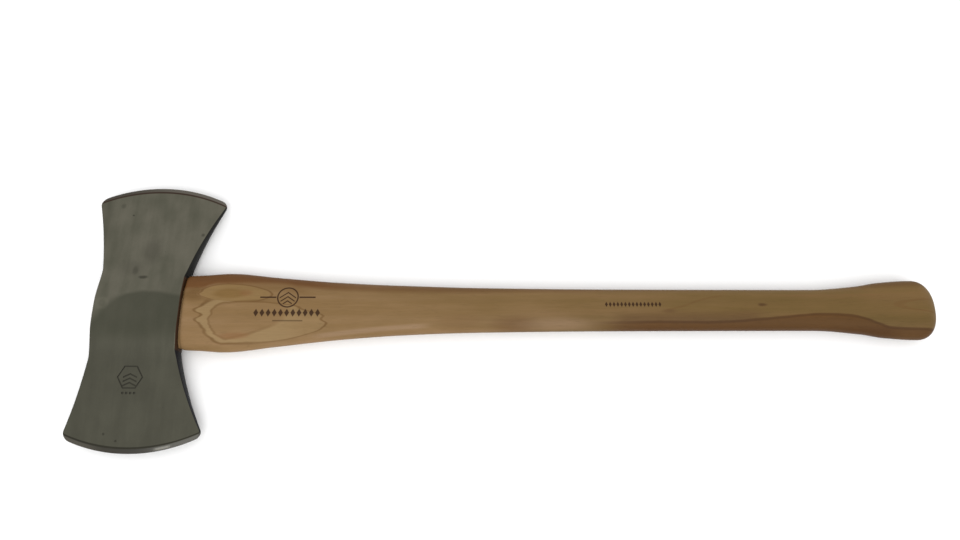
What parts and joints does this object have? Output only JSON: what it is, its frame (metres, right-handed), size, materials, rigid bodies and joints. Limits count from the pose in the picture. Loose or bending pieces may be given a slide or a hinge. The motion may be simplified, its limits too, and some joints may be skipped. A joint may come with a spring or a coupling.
{
  "type": "double-bit axe",
  "caption": "Two-bladed felling axe: polished forged head with a through eye, hung on a straight hickory handle that swells at the head and ends in a knob.",
  "frame": {"origin": "on the plane the axe rests on, straight below the centre of the eye, in the flat of the lower cheek", "axes": "+X along the handle from the head to the knob, +Y across the two bits, +Z the cheeks' normal, up as the axe lies"},
  "size_m": [0.8128, 0.2605, 0.026],
  "materials": {
    "head_steel": "polished and clear-lacquered, ground bright along the bevels",
    "hickory": "waxed, smooth, straight grain with cathedral figure at the swell",
    "wedge_wood": "sawn end grain",
    "wedge_steel": "mill"
  },
  "bodies": {
    "root": {"axe_head": "head_steel", "handle": "hickory", "wood_wedge": "wedge_wood", "ring_wedge": "wedge_steel"}
  },
  "joints": []
}
